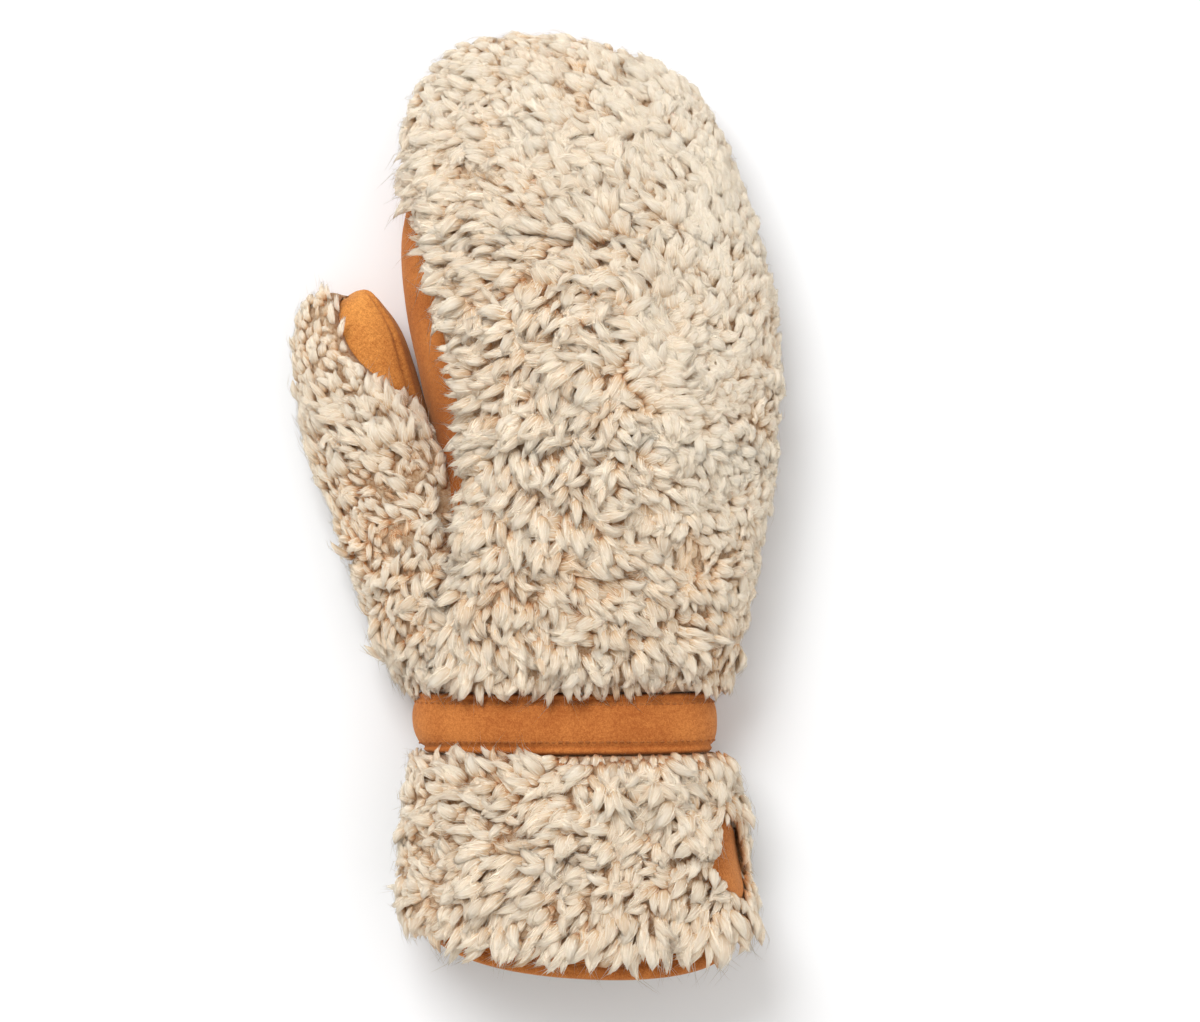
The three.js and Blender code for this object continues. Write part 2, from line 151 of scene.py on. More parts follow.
def backing(body, t, angle):  # a point of a body's backing: t along its rows, degrees from the right upwards
    t, angle = np.broadcast_arrays(np.asarray(t, float), np.asarray(angle, float))
    names = ("y", "left", "right", "side", "top", "bottom", "skew", "lean")
    row = {name: column(body, name, t) for name in names}
    cos, sin = np.cos(np.radians(angle)), np.sin(np.radians(angle))
    power = np.where(sin > 0, drawing["topPower"], drawing["underPower"])
    across = np.sign(cos) * np.abs(cos) ** power
    rise = np.sign(sin) * np.abs(sin) ** power
    z = row["side"] + rise * np.where(sin > 0, row["top"] - row["side"], row["side"] - row["bottom"])
    x = (row["left"] + row["right"]) / 2 + across * (row["right"] - row["left"]) / 2
    y = row["y"] + row["skew"] * across + row["lean"] * (z - row["side"])
    return np.stack([x, y, z], -1)


def unit(vectors):
    return vectors / np.maximum(np.linalg.norm(vectors, axis=-1, keepdims=True), 1e-9)


def outward(body, t, angle):
    t, angle = np.broadcast_arrays(np.asarray(t, float), np.asarray(angle, float))
    nudge = 0.02
    along = backing(body, t + nudge, angle) - backing(body, t - nudge, angle)
    around = backing(body, t, angle + 1) - backing(body, t, angle - 1)
    if body["closed"]:
        atEnd = (t > body["tip"] - 2 * nudge)[..., None]
        near = [backing(body, body["tip"] - nudge, turn) for turn in (90, 270, 0, 180)]
        along = np.where(atEnd, near[0] - near[1], along)
        around = np.where(atEnd, near[2] - near[3], around)
    return unit(np.cross(along, around)) * body["way"]


def skin(body, t, angle, offset):
    return backing(body, t, angle) + outward(body, t, angle) * np.asarray(offset)[..., None]


def pressed(points):  # presses what would reach below the floor flat
    points = points.copy()
    z = points[..., 2]
    points[..., 2] = 0.5 * (z + np.sqrt(z * z + drawing["press"] ** 2))
    return points


def inFrame(points):
    return (pressed(points) + shift) * drawing["millimetre"]


def ease(x):
    x = np.clip(x, 0, 1)
    return x * x * (3 - 2 * x)


def waves(points, size, seed=0.0):  # smooth noise between -1 and 1 at each point
    lookup = Vector((seed * 17.3, seed * 5.1, seed * 9.7))  # each seed looks in another place
    heights = [noise.noise(Vector(p) / size + lookup) for p in points.reshape(-1, 3)]
    return np.array(heights).reshape(points.shape[:-1])


class Value:  # a socket that takes part in arithmetic
    def __init__(self, finish, socket):
        self.finish = finish
        self.socket = socket

    def join(self, operation, left, right):
        return self.finish.node("ShaderNodeMath", {"operation": operation}, {0: left, 1: right})

    def __add__(self, other):
        return self.join("ADD", self, other)

    def __radd__(self, other):
        return self.join("ADD", other, self)

    def __sub__(self, other):
        return self.join("SUBTRACT", self, other)

    def __rsub__(self, other):
        return self.join("SUBTRACT", other, self)

    def __mul__(self, other):
        return self.join("MULTIPLY", self, other)

    def __rmul__(self, other):
        return self.join("MULTIPLY", other, self)


class Finish:  # one material and its nodes
    def __init__(self, name, **constants):
        self.material = bpy.data.materials.new(name)
        self.material.use_nodes = True
        self.nodes = self.material.node_tree.nodes
        self.links = self.material.node_tree.links
        self.shader = self.nodes["Principled BSDF"]
        for key, value in constants.items():
            self.shader.inputs[key.replace("_", " ")].default_value = value

    def soften(self, weight, reach):  # lets light through the fibres, reach in millimetres
        self.shader.subsurface_method = "BURLEY"
        self.shader.inputs["Subsurface Weight"].default_value = weight
        self.shader.inputs["Subsurface Radius"].default_value = (1.0, 0.9, 0.8)
        self.shader.inputs["Subsurface Scale"].default_value = reach * drawing["millimetre"]

    def feed(self, socket, value):
        if isinstance(value, Value):
            self.links.new(value.socket, socket)
        else:
            socket.default_value = value

    def node(self, kind, settings=None, inputs=None, output=0):
        made = self.nodes.new(kind)
        for key, value in (settings or {}).items():
            if key == "stops":
                elements = made.color_ramp.elements
                while len(elements) < len(value):
                    elements.new(0.5)
                for element, (position, colour) in zip(elements, value):
                    element.position = position
                    element.color = (*colour, 1)
            else:
                setattr(made, key, value)
        for key, value in (inputs or {}).items():
            self.feed(made.inputs[key], value)
        return Value(self, made.outputs[output])

    def measure(self, name):  # a number that each vertex holds
        return self.node("ShaderNodeAttribute", {"attribute_name": name}, output=2)

    def coordinates(self, size):  # Object coordinates counted in steps of size millimetres
        at = self.node("ShaderNodeTexCoord", output=3)
        step = 1 / (size * drawing["millimetre"])
        return self.node("ShaderNodeMapping", inputs={"Vector": at, "Scale": (step, step, step)})

    def noise(self, at, detail=2.0, roughness=0.5):
        inputs = {"Vector": at, "Scale": 1.0, "Detail": detail, "Roughness": roughness}
        return self.node("ShaderNodeTexNoise", inputs=inputs)

    def colours(self, value, *stops):
        return self.node("ShaderNodeValToRGB", {"stops": stops}, {0: value})

    def mix(self, factor, a, b, blend="MIX"):  # sockets 6 and 7 are the colours
        a, b = [(*c, 1) if isinstance(c, tuple) else c for c in (a, b)]
        settings = {"data_type": "RGBA", "blend_type": blend}
        return self.node("ShaderNodeMix", settings, {0: factor, 6: a, 7: b}, output=2)

    def bump(self, height, distance, strength=1.0):  # distance in millimetres
        inputs = {"Height": height, "Distance": distance * drawing["millimetre"], "Strength": strength}
        return self.node("ShaderNodeBump", inputs=inputs)

    def finish(self, **surface):
        for key, value in surface.items():
            self.feed(self.shader.inputs[key.replace("_", " ")], value)
        return self.material


wool = {"weight": 0.9, "reach": 2.2, "middleAt": 0.45, "tipAt": 0.88, "driftSize": 16, "drift": 0.25,
        "grainSize": 1.4, "grain": 0.16, "strands": (3.0, 16.0, 1.0), "gap": (0.32, (0.80, 0.70, 0.58)),
        "clear": (0.62, (1, 1, 1)), "gapShade": 0.5, "bump": (0.4, 0.6)}


def fleeceFinish(name, root, middle, tip):
    look = Finish(name, Roughness=0.95, Sheen_Weight=0.05, Sheen_Roughness=0.5, Specular_IOR_Level=0.15)
    look.soften(wool["weight"], wool["reach"])
    tone = look.measure("tone")
    drift = look.noise(look.coordinates(wool["driftSize"]))
    grain = look.noise(look.coordinates(wool["grainSize"]))
    lit = tone + (drift - 0.5) * wool["drift"] + (grain - 0.5) * wool["grain"]
    base = look.colours(lit, (0.0, root), (wool["middleAt"], middle), (wool["tipAt"], tip), (1.0, tip))
    uv = look.node("ShaderNodeUVMap", {"uv_map": "UVMap"})
    strands = look.node("ShaderNodeMapping", inputs={"Vector": uv, "Scale": wool["strands"]})
    fibres = look.noise(strands, 3, 0.6)
    shade = look.mix(wool["gapShade"], base, look.colours(fibres, wool["gap"], wool["clear"]), "MULTIPLY")
    return look.finish(Base_Color=shade, Normal=look.bump(fibres, *wool["bump"]))


hide = {"tint": (1.0, 0.66, 0.36, 1), "cloudSize": 16, "clouds": 0.3, "napSize": 1.1, "nap": 0.35,
        "speckSize": 0.42, "speck": 0.35, "darkAt": 0.40, "lightAt": 0.60, "bump": (0.3, 0.8)}


def suedeFinish(name, dark, light, deep):
    look = Finish(name, Sheen_Weight=0.25, Sheen_Roughness=0.5, Sheen_Tint=hide["tint"],
                  Specular_IOR_Level=0.2)
    clouds = look.noise(look.coordinates(hide["cloudSize"]), 4, 0.6)
    nap = look.noise(look.coordinates(hide["napSize"]), 4, 0.75)
    speck = look.noise(look.coordinates(hide["speckSize"]), 2, 0.7)
    mixed = clouds * hide["clouds"] + nap * hide["nap"] + speck * hide["speck"]
    base = look.colours(mixed, (hide["darkAt"], dark), (hide["lightAt"], light))
    # painted shade: mixes towards the deep colour where the shade attribute is set
    shaded = look.mix(look.measure("shade"), base, deep)
    relief = look.bump(nap * 0.5 + speck * 0.5, *hide["bump"])
    return look.finish(Base_Color=shaded, Roughness=0.78 + nap * 0.18, Normal=relief)


def plainFinish(name, dark, light, size, depth, soft=0.0):
    look = Finish(name, Sheen_Weight=0.1, Specular_IOR_Level=0.15)
    if soft:
        look.soften(soft, 1.8)
    weave = look.noise(look.coordinates(size), 4, 0.7)
    base = look.colours(weave, (0.36, dark), (0.64, light))
    return look.finish(Base_Color=base, Roughness=0.85 + weave * 0.1, Normal=look.bump(weave, depth, 0.8))


# The fleece's brown root colour is painted shade deep in the pile; the tip colour is the wool's cream
fleece = fleeceFinish("creamSherpa", (0.42, 0.195, 0.075), (0.575, 0.435, 0.295), (0.665, 0.622, 0.545))
# The backing's browns are painted shade for the gaps between locks
matFleece = plainFinish("sherpaBacking", (0.38, 0.20, 0.09), (0.60, 0.44, 0.29), 1.5, 1.4, 0.4)
# Each suede's third colour is the painted shade that the shade attribute mixes in
suede = suedeFinish("tanSuede", (0.36, 0.095, 0.018), (0.62, 0.225, 0.055), (0.16, 0.03, 0.008))
lining = plainFinish("plainLining", (0.42, 0.26, 0.13), (0.58, 0.40, 0.23), 0.6, 0.15)
# painted light: the thumb's suede is a lighter copy of the tan suede
litSuede = suedeFinish("litThumbSuede", (0.44, 0.14, 0.028), (0.84, 0.37, 0.09), (0.16, 0.03, 0.008))
thread = plainFinish("tanThread", (0.26, 0.07, 0.015), (0.50, 0.19, 0.05), 0.3, 0.05)
print("finishes made")


# Painted shade on the suede: darker between thumb and hand and past the thumb's seam
crotch = {"middle": (-43, 66, 16), "reach": (9, 26, 24), "shade": 0.85,
          "seamShade": 0.5, "seamSlope": (9, 6), "seamFrom": -12, "seamTo": 4}


def shadeCrotch(mesh, finishes):  # painted shade: the suede is darker deep between thumb and hand, where shade falls
    points = np.empty(len(mesh.vertices) * 3)
    mesh.vertices.foreach_get("co", points)
    points = points.reshape(-1, 3) / drawing["millimetre"] - shift
    away = (points - np.array(crotch["middle"])) / np.array(crotch["reach"])
    shade = crotch["shade"] * np.exp(-(away ** 2).sum(-1))
    if litSuede in finishes:  # and painted shade past the thumb's seam
        past = away[:, 0] * crotch["seamSlope"][0] + away[:, 1] * crotch["seamSlope"][1]
        shade = np.maximum(shade, crotch["seamShade"] * ramp(past, crotch["seamFrom"], crotch["seamTo"]))
    mesh.attributes.new("shade", "FLOAT", "POINT").data.foreach_set("value", shade)


def settle(name, bm, finishes, nodes):  # turns a bmesh into a piece that rides on the mitten
    mesh = bpy.data.meshes.new(name)
    bm.to_mesh(mesh)
    bm.free()
    return settleMesh(name, mesh, finishes, nodes)


def settleMesh(name, mesh, finishes, nodes):
    if suede in finishes or litSuede in finishes:
        shadeCrotch(mesh, finishes)
    for finish in finishes:
        mesh.materials.append(finish)
    mesh.polygons.foreach_set("use_smooth", [True] * len(mesh.polygons))
    piece = bpy.data.objects.new(name, mesh)
    bpy.context.scene.collection.objects.link(piece)
    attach(piece, "root")
    if nodes:
        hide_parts(*nodes)
    return piece


def drawSheet(body, place, segments, offset, closedRing=False):
    # A grid laid over a stretch of a body. place gives t and angle for shares u and w of the grid.
    bm = bmesh.new()
    bm.loops.layers.uv.new("UVMap")
    bmesh.ops.create_grid(bm, x_segments=segments[0], y_segments=segments[1], size=0.5, calc_uvs=True)
    u = np.array([v.co.x for v in bm.verts]) + 0.5
    w = np.array([v.co.y for v in bm.verts]) + 0.5
    t, angle = place(u, w)
    points = skin(body, t, angle, offset(t, w, backing(body, t, angle)))
    for vert, point in zip(bm.verts, inFrame(points)):
        vert.co = point
    if closedRing or body["closed"]:
        bmesh.ops.remove_doubles(bm, verts=bm.verts, dist=0.00002)
    faceAway(bm)
    return bm


def faceAway(bm):  # turns an open shell's faces outwards
    middle = sum((v.co for v in bm.verts), Vector()) / len(bm.verts)
    bm.normal_update()
    if sum(f.normal.dot(f.calc_center_median() - middle) * f.calc_area() for f in bm.faces) < 0:
        bmesh.ops.reverse_faces(bm, faces=bm.faces)


def giveWall(piece, thickness, innerSlot=1):
    wall = piece.modifiers.new("wall", "SOLIDIFY")
    wall.thickness = thickness * drawing["millimetre"]
    wall.offset = -1
    wall.use_even_offset = False
    wall.material_offset = innerSlot
    wall.material_offset_rim = 0


def edgeRise(w, share=1 / 7):  # 0 at a panel's edges and 1 inside
    return ease(np.minimum(w, 1 - w) / share)


def ramp(x, low, high):
    return ease((x - low) / (high - low))


def fall(x, low, high):  # 1 below low and 0 above high
    return ramp(-x, -high, -low)


badge = {"row": 4.05, "angle": 15.0, "halfRow": 13.0 / 14, "halfTurn": 21.0, "lift": 3.0, "thick": 1.6,
         "segments": (36, 44), "halfSize": (13.0, 9.0, 22.0), "cleared": (12.5, 9.0, 22.0),
         "rim": 0.5, "rimAt": 0.86, "rimWidth": 0.06, "edge": 0.9, "edgeFrom": 0.93, "edgeTo": 1.02}
badgeTop = badge["lift"] + badge["thick"]
badgeMiddle = skin(sleeve, badge["row"], badge["angle"], badgeTop)
badgeEnds = [backing(sleeve, badge["row"] + step, badge["angle"]) for step in (0.1, -0.1)]
badgeAlong = unit(badgeEnds[0] - badgeEnds[1])
badgeRound = np.cross(outward(sleeve, badge["row"], badge["angle"]), badgeAlong)
badgeAxes = (badgeAlong, badgeRound, np.cross(badgeAlong, badgeRound))


def nearBadge(points, halfSize=badge["halfSize"]):  # below 1 inside the badge's oval
    gap = points - badgeMiddle
    return np.sqrt(sum((gap @ axis / half) ** 2 for axis, half in zip(badgeAxes, halfSize)))


# Fleece mats: the backing with the pile's dense lower part
mat = {"handSegments": (64, 44), "thumbSegments": (44, 26), "cuffSegments": (26, 76), "wall": 6.0,
       "thin": 0.3, "tipReach": 0.7, "thumbWall": 1.8, "thumbThin": 0.85, "thumbTipReach": 0.9,
       "cuffLow": 2.2, "cuffThin": 0.2}


def lumps(points):  # soft hills of the pile, in millimetres
    return waves(points, 15.0, 6) * 1.3 + waves(points, 7.0, 7) * 0.7


def atTip(body, t, reach=mat["tipReach"]):  # 0 along a body, and 1 at its closed end
    return ramp(t, body["tip"] - reach, body["tip"] - 0.05)


def hemmed(body, t, w):  # thins a mat towards its sewn edges
    inside = np.maximum(edgeRise(w, 0.05), atTip(body, t))
    return mat["thin"] + (1 - mat["thin"]) * inside * ramp(t, 0, 0.25)


def matOffset(body, full):
    def offset(t, w, points):
        inside = np.maximum(edgeRise(w, 0.1), atTip(body, t))
        return (full(t, w) * pile["mat"] + lumps(points) * inside) * hemmed(body, t, w)

    return offset


def thumbMatOffset(t, w, points):  # closes onto the suede at the tip
    closing = mat["thumbThin"] * atTip(thumb, t, mat["thumbTipReach"])
    return matOffset(thumb, thumbPile)(t, w, points) * (1 - closing)


def cuffMatOffset(t, w, points):  # low round the badge, and thin at both sewn edges
    free = ramp(nearBadge(points), 0.95, 1.5)
    edge = ramp(t, 2.02, 2.3) * ramp(hemStart - t, 0.03, 0.3)
    high = cuffPile(t, w) * pile["mat"] + lumps(points) - mat["cuffLow"]
    return mat["cuffLow"] + high * free * (mat["cuffThin"] + (1 - mat["cuffThin"]) * edge)


def pileHigh(inside):  # the pile's depth, from 0 at a seam to 1 well inside
    return pile["atEdge"] + (pile["depth"] - pile["atEdge"]) * inside


def handPile(t, w):
    return pileHigh(np.where(t > hand["tip"] - 1, 1, edgeRise(w)) * ease(0.35 + 0.8 * t))


def thumbPile(t, w):
    return pileHigh(edgeRise(w) * ease(0.8 * t))


def cuffPile(t, w):
    return pileHigh(ease(2.5 * (t - 2) + 0.2))


def seamRight(t):  # where the palm meets the back's fleece on the outer side
    return column(hand, "seamRight", t)


def backEdge(t):  # where the back's fleece ends over the strip of suede
    return column(hand, "seamLeft", t) - 6 * ramp(t, 1, 3) * fall(t, 8, 11)


def seamUnder(t):  # where the thumb's fleece ends on its underside
    return column(thumb, "seamUnder", t)


def thumbEdge(t):
    return column(thumb, "seamTop", t) + 9 * ramp(t, 2, 3.5) * fall(t, 5, 7.5)


def handPlace(u, w):
    t = 0.02 + (hand["tip"] - 0.02) * u
    low, high = seamRight(t), backEdge(t)
    return t, low + (high - low) * w


def thumbPlace(u, w):
    t = 0.05 + (thumb["tip"] - 0.05) * u
    low, high = thumbEdge(t), seamUnder(t)
    return t, low + (high - low) * w


def cuffPlace(u, w):  # from just below the band to just above the hem
    return 2.03 + (hemStart - 2.06) * u, 360 * w


backMat = settle("backMat", drawSheet(hand, handPlace, mat["handSegments"], matOffset(hand, handPile)),
                 [matFleece, lining], ["hand_back_fleece"])
giveWall(backMat, mat["wall"])
thumbMat = settle("thumbMat", drawSheet(thumb, thumbPlace, mat["thumbSegments"], thumbMatOffset),
                  [matFleece, lining], ["thumb_back_fleece"])
giveWall(thumbMat, mat["thumbWall"])
cuffMat = settle("cuffMat", drawSheet(sleeve, cuffPlace, mat["cuffSegments"], cuffMatOffset, True),
                 [matFleece, lining], ["cuff_fleece"])
giveWall(cuffMat, mat["wall"])
print("mats laid")


# Curls: a few drawn locks, each a soft body under loose strands, copied over the mats in joined meshes
# bodyTones and strandTones run from root to tip: the darker roots are painted shade deep in the pile
curl = {"bodySides": 5, "bodyRings": 4, "flat": 0.62, "bodyTones": (0.1, 0.7, 0.95),
        "strands": 6, "strandRings": 3, "strandTones": (0.5, 1.0, 1.15)}
curlKinds = {  # how steeply a lock rises and droops, how far it hooks, its half width and where it is widest
    "drop": {"rise": (0.35, 0.7), "droop": (-0.45, 0.0), "hook": (-0.8, 0.8),
             "wide": (0.17, 0.22), "peak": (0.38, 0.5)},
    "comma": {"rise": (0.45, 0.8), "droop": (-0.5, 0.0), "hook": (1.0, 2.0),
              "wide": (0.155, 0.2), "peak": (0.38, 0.5)},
    "bud": {"rise": (0.8, 1.1), "droop": (-0.9, -0.3), "hook": (-0.9, 0.9),
            "wide": (0.22, 0.27), "peak": (0.46, 0.56)},
}
strandKinds = {  # shares of the lock's length
    "strand": {"reach": (0.86, 1.12), "splay": (-0.16, 0.16), "lift": (-0.02, 0.06), "thick": (0.018, 0.036)},
    "stray": {"reach": (1.15, 1.5), "splay": (-0.5, 0.5), "lift": (-0.02, 0.14), "thick": (0.008, 0.013)},
}


def arcPath(rise, droop, hook, steps=40):  # points of a unit-long arc that rises, droops and hooks sideways
    s = (np.arange(steps) + 0.5) / steps
    up = rise + (droop - rise) * s ** 0.8
    turn = hook * s ** 1.6
    stride = np.stack([np.cos(up) * np.sin(turn), np.cos(up) * np.cos(turn), np.sin(up)], -1) / steps
    points = np.concatenate([[[0, 0, 0]], np.cumsum(stride, axis=0)])
    shares = np.linspace(0, 1, steps + 1)
    return lambda at: np.stack([np.interp(at, shares, points[:, i]) for i in range(3)], -1)


def asShape(bm):  # a drawn shape as arrays, ready to be copied
    bm.verts.index_update()
    tone, uv = bm.verts.layers.float["tone"], bm.loops.layers.uv["UVMap"]
    loops = [loop for face in bm.faces for loop in face.loops]
    shape = {
        "points": np.array([v.co for v in bm.verts]),
        "tone": np.array([v[tone] for v in bm.verts]),
        "corners": np.array([loop.vert.index for loop in loops]),
        "uv": np.array([loop[uv].uv for loop in loops]),
        "sizes": np.array([len(face.verts) for face in bm.faces]),
    }
    bm.free()
    return shape


def addStrand(bm, sides, rings, path, girth, tones):
    # A closed tapering strand. path gives its middle, and girth its half width and height.
    before = set(bm.verts)
    tone = bm.verts.layers.float["tone"]
    grid = bmesh.ops.create_grid(bm, x_segments=rings, y_segments=sides, size=0.5, calc_uvs=True)
    for vert in grid["verts"]:
        s = vert.co.x + 0.5
        turn = 2 * math.pi * round((vert.co.y + 0.5) * sides) / sides - math.pi / 2
        forward = (path(s + 0.02) - path(s - 0.02)).normalized()
        side = forward.cross(Vector((0, 0, 1))).normalized()
        up = side.cross(forward)
        wide, high = girth(s) if 0 < s < 1 else (0, 0)
        below = 0.7 if math.sin(turn) > 0.6 else 1  # painted shade: the underside is darker
        vert[tone] = float(np.interp(s, (0, 0.45, 1), tones)) * below
        vert.co = path(s) + side * (wide * math.cos(turn)) - up * (high * math.sin(turn))
    bmesh.ops.remove_doubles(bm, verts=[v for v in bm.verts if v not in before], dist=0.0005)


def drawCurl(draw, kind):
    facts = curlKinds[kind]
    arc = arcPath(draw.uniform(*facts["rise"]), draw.uniform(*facts["droop"]), draw.uniform(*facts["hook"]))
    wide, peak = draw.uniform(*facts["wide"]), draw.uniform(*facts["peak"])

    def spread(s):
        if s < peak:
            return 0.3 + 0.7 * math.sin(math.pi / 2 * s / peak)
        return max(math.cos(math.pi / 2 * (s - peak) / (1 - peak)), 0) ** 1.25

    def middle(s):
        return Vector(arc(min(max(s, 0), 1)) + (arc(1.0) - arc(0.98)) * (max(s - 1, 0) + min(s, 0)) * 50)

    def bodyGirth(s):
        return wide * spread(s) * 0.95, wide * spread(s) * curl["flat"]

    def over(lane, reach, splay, lift):  # a path along the body's upper side
        def path(s):
            x, y, z = middle(s * reach)
            w = wide * (spread(min(max(s, 0), 1)) * 0.94 + 0.03)
            rise = w * curl["flat"] * math.sqrt(max(1 - lane * lane, 0)) * 0.9
            return Vector((x + lane * w + splay * s * s * s, y, z + rise + lift * s))

        return path

    def taper(thick):
        def girth(s):
            r = thick * 1.25 * (s + 0.1) ** 0.35 * (1 - s) ** 0.6
            return r, r * 0.8

        return girth

    bm = bmesh.new()
    bm.loops.layers.uv.new("UVMap")
    bm.verts.layers.float.new("tone")
    addStrand(bm, curl["bodySides"], curl["bodyRings"], middle, bodyGirth, curl["bodyTones"])
    for k in range(curl["strands"]):
        lane = 1.9 * (k + draw.uniform(0.1, 0.9)) / curl["strands"] - 0.95
        strand = strandKinds["stray" if k % 3 == 0 else "strand"]
        path = over(lane, *[draw.uniform(*strand[key]) for key in ("reach", "splay", "lift")])
        girth = taper(draw.uniform(*strand["thick"]))
        addStrand(bm, 3, curl["strandRings"], path, girth, curl["strandTones"])
    bmesh.ops.recalc_face_normals(bm, faces=bm.faces)
    return asShape(bm)


draw = np.random.default_rng(7)
kinds = ["drop"] * 6 + ["comma"] * 4 + ["bud"] * 4
firstBud = kinds.index("bud")
curlShapes = [drawCurl(draw, kind) for kind in kinds]
asides = [abs(shape["points"][shape["points"][:, 1].argmax(), 0]) for shape in curlShapes]
straightest = int(np.argmin(asides))
print("curl shapes:", [int((s["sizes"] - 2).sum()) for s in curlShapes], "triangles")


def copies(shapes, pick, locks):
    # One shape at each root. A frame holds the scaled side, forward and up directions.
    roots, frames, flip = locks["root"], locks["frame"], locks["flip"]
    found = {"points": [], "corners": [], "uv": [], "sizes": [], "tone": []}
    count = 0
    for k, shape in enumerate(shapes):
        order = {1.0: np.arange(len(shape["corners"]))}
        ends = np.cumsum(shape["sizes"])
        order[-1.0] = np.concatenate([np.arange(e - s, e)[::-1] for s, e in zip(shape["sizes"], ends)])
        for way in (1.0, -1.0):
            some = np.where((pick == k) & (flip == way))[0]
            local = shape["points"] * np.array([way, 1, 1])
            placed = roots[some][:, None] + np.einsum("vj,njc->nvc", local, frames[some])
            starts = count + len(local) * np.arange(len(some))
            found["points"].append(placed.reshape(-1, 3))
            found["corners"].append((starts[:, None] + shape["corners"][order[way]][None]).ravel())
            uv = shape["uv"][order[way]][None] + draw.random((len(some), 1, 2)) * 7  # a place for each
            found["uv"].append(uv.reshape(-1, 2))
            found["sizes"].append(np.tile(shape["sizes"], len(some)))
            gain, calm, deep = [locks[key][some][:, None] for key in ("tone", "calm", "deep")]
            deep = deep - ((placed - roots[some][:, None]) * locks["normal"][some][:, None]).sum(-1)
            tone = shape["tone"][None] * gain * (1 - calm) + pile["calmTone"] * calm
            # painted shade: darker the deeper a point lies below the pile's top
            tone = tone - pile["shade"] * np.clip(deep - pile["shadeFrom"], 0, pile["shadeSpan"])
            found["tone"].append(tone.ravel())
            count += len(local) * len(some)
    return {name: np.concatenate(parts) for name, parts in found.items()}


def meshOf(name, joined):
    mesh = bpy.data.meshes.new(name)
    mesh.vertices.add(len(joined["points"]))
    mesh.vertices.foreach_set("co", inFrame(joined["points"]).ravel())
    mesh.loops.add(len(joined["corners"]))
    mesh.loops.foreach_set("vertex_index", joined["corners"].astype(np.int32))
    mesh.polygons.add(len(joined["sizes"]))
    mesh.polygons.foreach_set("loop_start", (np.cumsum(joined["sizes"]) - joined["sizes"]).astype(np.int32))
    mesh.update(calc_edges=True)
    mesh.uv_layers.new(name="UVMap").data.foreach_set("uv", joined["uv"].ravel())
    mesh.attributes.new("tone", "FLOAT", "POINT").data.foreach_set("value", joined["tone"])
    return mesh


def joinLocks(name, pick, locks, nodes):
    joined = copies(curlShapes, pick, locks)
    print(name, len(pick), "curls,", int((joined["sizes"] - 2).sum()), "triangles")
    return settleMesh(name, meshOf(name, joined), [fleece], nodes)


def scatterRoots(body, start, finish, low, high, pitch, jitter=0.42):
    # Places in staggered rows, as t and degrees. pitch gives the gap at each point, in millimetres.
    found = []
    t, row = start, 0
    while t < finish:
        angles = np.linspace(low(t), high(t), 120)
        line = backing(body, np.full(120, t), angles)
        gaps = np.linalg.norm(np.diff(line, axis=0), axis=1) / pitch(line[1:])
        arc = np.concatenate([[0], np.cumsum(gaps)])
        many = max(1, int(round(arc[-1])))
        at = (np.arange(many) + 0.25 + 0.5 * (row % 2) + draw.uniform(-jitter, jitter, many)) / many
        turns = np.interp(np.clip(at, 0, 1) * arc[-1], arc, angles)
        after, before = [backing(body, t + nudge, [15, 90, 165]) for nudge in (0.1, -0.1)]
        step = np.linalg.norm(after - before, axis=1).mean() / 0.2
        near = float(pitch(line).mean())
        found += [(t + draw.uniform(-jitter, jitter) * near / max(step, near), turn) for turn in turns]
        t += 0.87 * near / max(step, 0.5 * near)
        row += 1
    return np.array(found).T


def gather(points, pitch):  # the tuft that each lock belongs to, as its middle and number
    middles = [points[0]]
    for i in draw.permutation(len(points)):
        if np.linalg.norm(np.array(middles) - points[i], axis=1).min() > pitch:
            middles.append(points[i])
    middles = np.array(middles)
    tuft = np.array([np.linalg.norm(middles - point, axis=1).argmin() for point in points])
    return middles[tuft], tuft, len(middles)


lay = {"heap": 1.6, "tuftPull": 0.35, "tuftTurn": 0.16, "tuftGather": 0.06, "swaySize": 8.0, "sway": 0.28,
       "jolt": 0.12, "tilt": (-0.08, 0.8), "long": (0.72, 1.3), "wide": (0.75, 1.1), "swellSize": 19.0,
       "swell": 0.3, "valleyWidth": 0.13, "valleyDeep": 0.9, "valleyShort": 0.15, "valleyShade": 0.25,
       "tones": 0.07, "turned": 0.2}


